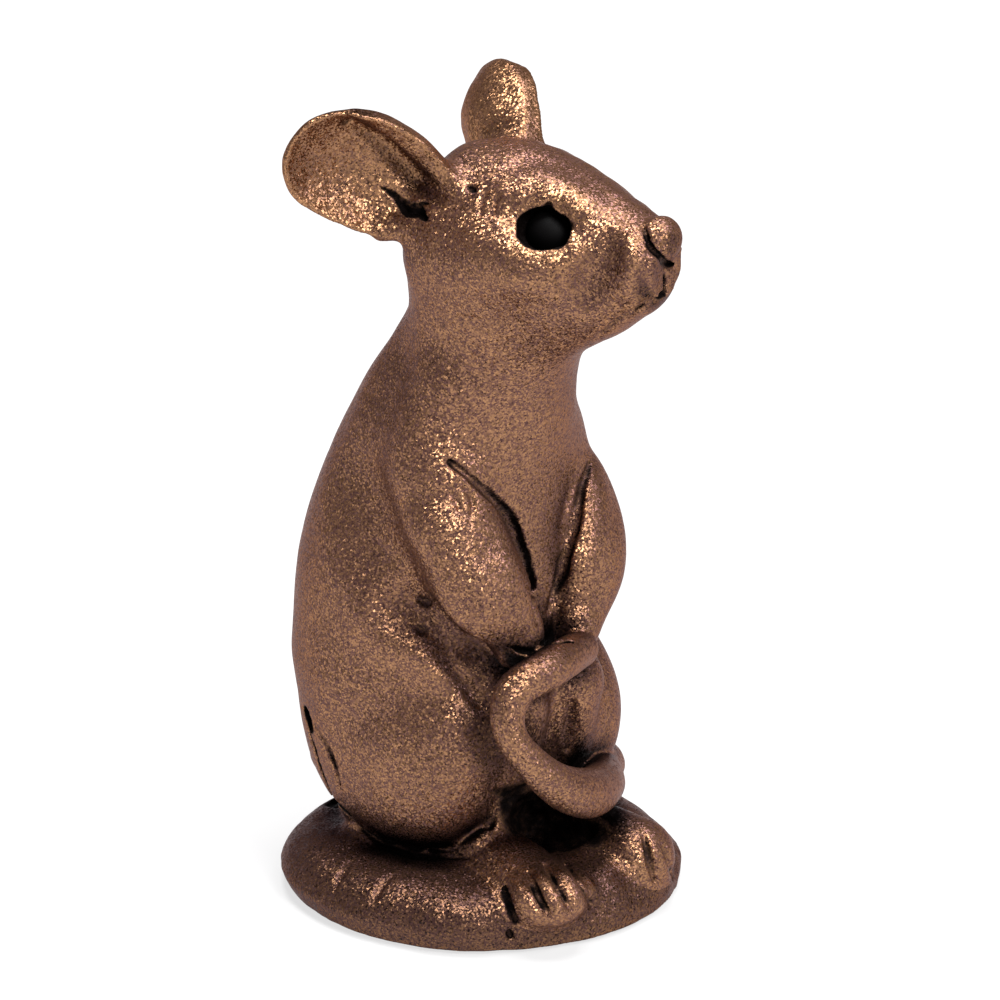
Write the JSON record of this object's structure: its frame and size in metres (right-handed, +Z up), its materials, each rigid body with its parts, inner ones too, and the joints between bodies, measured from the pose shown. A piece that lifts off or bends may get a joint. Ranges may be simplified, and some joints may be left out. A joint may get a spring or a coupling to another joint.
{
  "type": "mouse figurine",
  "caption": "Bronze-finished figurine of a mouse sitting up on a round base, holding the end of its tail in its front paws.",
  "frame": {"origin": "centre of the flat underside that the figurine stands on", "axes": "+Z up from the underside to the ears, -Y the way the mouse's body faces, +X to the mouse's left"},
  "size_m": [0.0548, 0.0605, 0.1154],
  "materials": {
    "bronze_finish": "satin bronze metal-powder finish, dark patina in the creases and rubbed golden high spots",
    "eye_glass": "polished black bead",
    "baize": "dark green felted baize"
  },
  "bodies": {
    "root": {"base": "bronze_finish", "torso": "bronze_finish", "head": "bronze_finish", "right_ear": "bronze_finish", "left_ear": "bronze_finish", "nose": "bronze_finish", "right_arm": "bronze_finish", "left_arm": "bronze_finish", "right_paw": "bronze_finish", "left_paw": "bronze_finish", "right_haunch": "bronze_finish", "left_haunch": "bronze_finish", "right_lower_leg": "bronze_finish", "left_lower_leg": "bronze_finish", "right_foot": "bronze_finish", "left_foot": "bronze_finish", "tail": "bronze_finish", "right_eye": "eye_glass", "left_eye": "eye_glass", "base_pad": "baize"}
  },
  "joints": []
}
